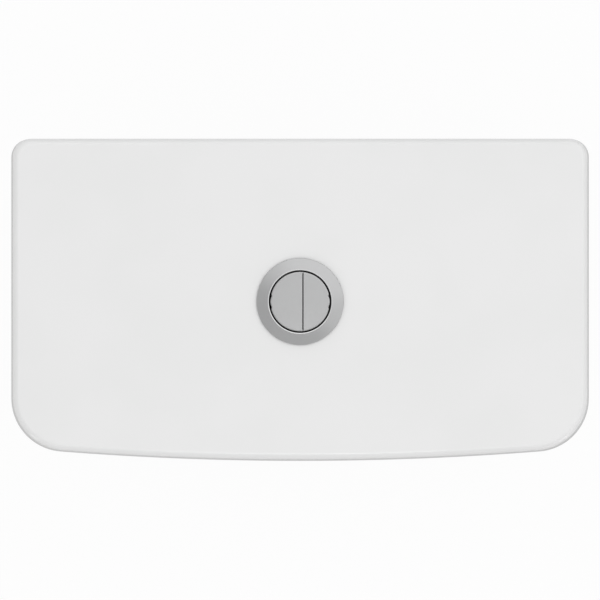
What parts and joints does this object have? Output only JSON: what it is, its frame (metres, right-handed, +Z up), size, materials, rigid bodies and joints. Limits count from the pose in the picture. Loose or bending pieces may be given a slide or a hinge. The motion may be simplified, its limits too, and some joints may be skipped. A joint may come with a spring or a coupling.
{
  "type": "toilet cistern",
  "caption": "China toilet cistern with a lift-off lid, a split push button, a flush valve lifted by rockers, a float-operated fill valve and coupling bolts.",
  "frame": {"origin": "on the flush outlet's axis, which is also the push button's, in the plane of the tank's underside", "axes": "+X to the right as seen from the front, +Y to the wall behind, +Z up"},
  "size_m": [0.37, 0.2062, 0.4449],
  "materials": {
    "china": "white glaze",
    "satin_chrome": "satin plated",
    "white_plastic": "moulded",
    "grey_plastic": "moulded",
    "blue_plastic": "moulded",
    "green_plastic": "moulded",
    "black_rubber": "matt",
    "red_rubber": "matt",
    "steel": "zinc plated"
  },
  "bodies": {
    "cistern_body": {"tank": "china", "coupling_bolts": "steel", "bolt_head_washers": "steel", "bolt_rubber_washers": "black_rubber", "bolt_under_washers": "steel", "bolt_nuts": "steel", "flush_base": "white_plastic", "flush_base_washer": "black_rubber", "flush_back_nut": "white_plastic", "coupling_doughnut": "black_rubber", "valve_cage": "white_plastic", "valve_head": "grey_plastic", "rocker_pins": "steel", "fill_shank": "white_plastic", "inlet_washer": "black_rubber", "inlet_nut": "white_plastic", "inlet_filter": "grey_plastic", "fill_riser": "grey_plastic", "riser_lock_nut": "grey_plastic", "fill_head": "white_plastic", "fill_cap": "grey_plastic", "diaphragm": "red_rubber", "discharge_tube": "white_plastic", "lever_pin": "steel"},
    "lid_body": {"lid": "china", "button_bezel": "satin_chrome", "button_gasket": "black_rubber", "button_nut": "white_plastic", "full_flush_spring": "steel", "half_flush_spring": "steel"},
    "full_button_body": {"full_flush_button": "satin_chrome", "full_flush_rod": "white_plastic"},
    "half_button_body": {"half_flush_button": "satin_chrome", "half_flush_rod": "white_plastic"},
    "full_rocker_body": {"full_flush_rocker": "blue_plastic"},
    "half_rocker_body": {"half_flush_rocker": "green_plastic"},
    "flush_tube_body": {"overflow_tube": "white_plastic", "lifting_yoke": "blue_plastic", "full_flush_float": "blue_plastic", "half_flush_float": "green_plastic", "half_float_clip": "grey_plastic", "seal_carrier": "grey_plastic", "flush_seal": "red_rubber"},
    "float_body": {"float_cup": "blue_plastic", "float_link": "white_plastic", "link_clip": "steel"},
    "lever_body": {"float_lever": "green_plastic"}
  },
  "joints": [
    {"name": "lid_lift", "type": "slide", "parent": "cistern_body", "child": "lid_body", "axis": [0, 0, 1], "range_m": [0, 0.15]},
    {"name": "full_flush_press", "type": "slide", "parent": "lid_body", "child": "full_button_body", "axis": [0, 0, -1], "range_m": [0, 0.008], "stiffness_N_per_m": 300, "springref_m": -0.005, "deforming": ["full_flush_spring"]},
    {"name": "half_flush_press", "type": "slide", "parent": "lid_body", "child": "half_button_body", "axis": [0, 0, -1], "range_m": [0, 0.008], "stiffness_N_per_m": 300, "springref_m": -0.005, "deforming": ["half_flush_spring"]},
    {"name": "full_rocker_swing", "type": "hinge", "parent": "cistern_body", "child": "full_rocker_body", "pos_m": [-0.009, 0.02, 0.28761], "axis": [1, 0, 0], "range_deg": [0, 22.62]},
    {"name": "half_rocker_swing", "type": "hinge", "parent": "cistern_body", "child": "half_rocker_body", "pos_m": [0.0105, -0.02, 0.28761], "axis": [-1, 0, 0], "range_deg": [0, 22.62]},
    {"name": "valve_lift", "type": "slide", "parent": "cistern_body", "child": "flush_tube_body", "axis": [0, 0, 1], "range_m": [0, 0.0102]},
    {"name": "float_rise", "type": "slide", "parent": "cistern_body", "child": "float_body", "axis": [0, 0, 1], "range_m": [0, 0.012]},
    {"name": "float_lever_swing", "type": "hinge", "parent": "cistern_body", "child": "lever_body", "pos_m": [0.103, 0.012, 0.27743], "axis": [0, 1, 0], "range_deg": [0, 29.25]}
  ],
  "couplings": [
    {"joint": "full_rocker_swing", "follows": "full_flush_press", "rad_per_m": 49.349},
    {"joint": "valve_lift", "follows": "full_flush_press", "ratio": 1.2747},
    {"joint": "half_rocker_swing", "follows": "half_flush_press", "rad_per_m": 49.349},
    {"joint": "float_lever_swing", "follows": "float_rise", "rad_per_m": 42.53}
  ]
}
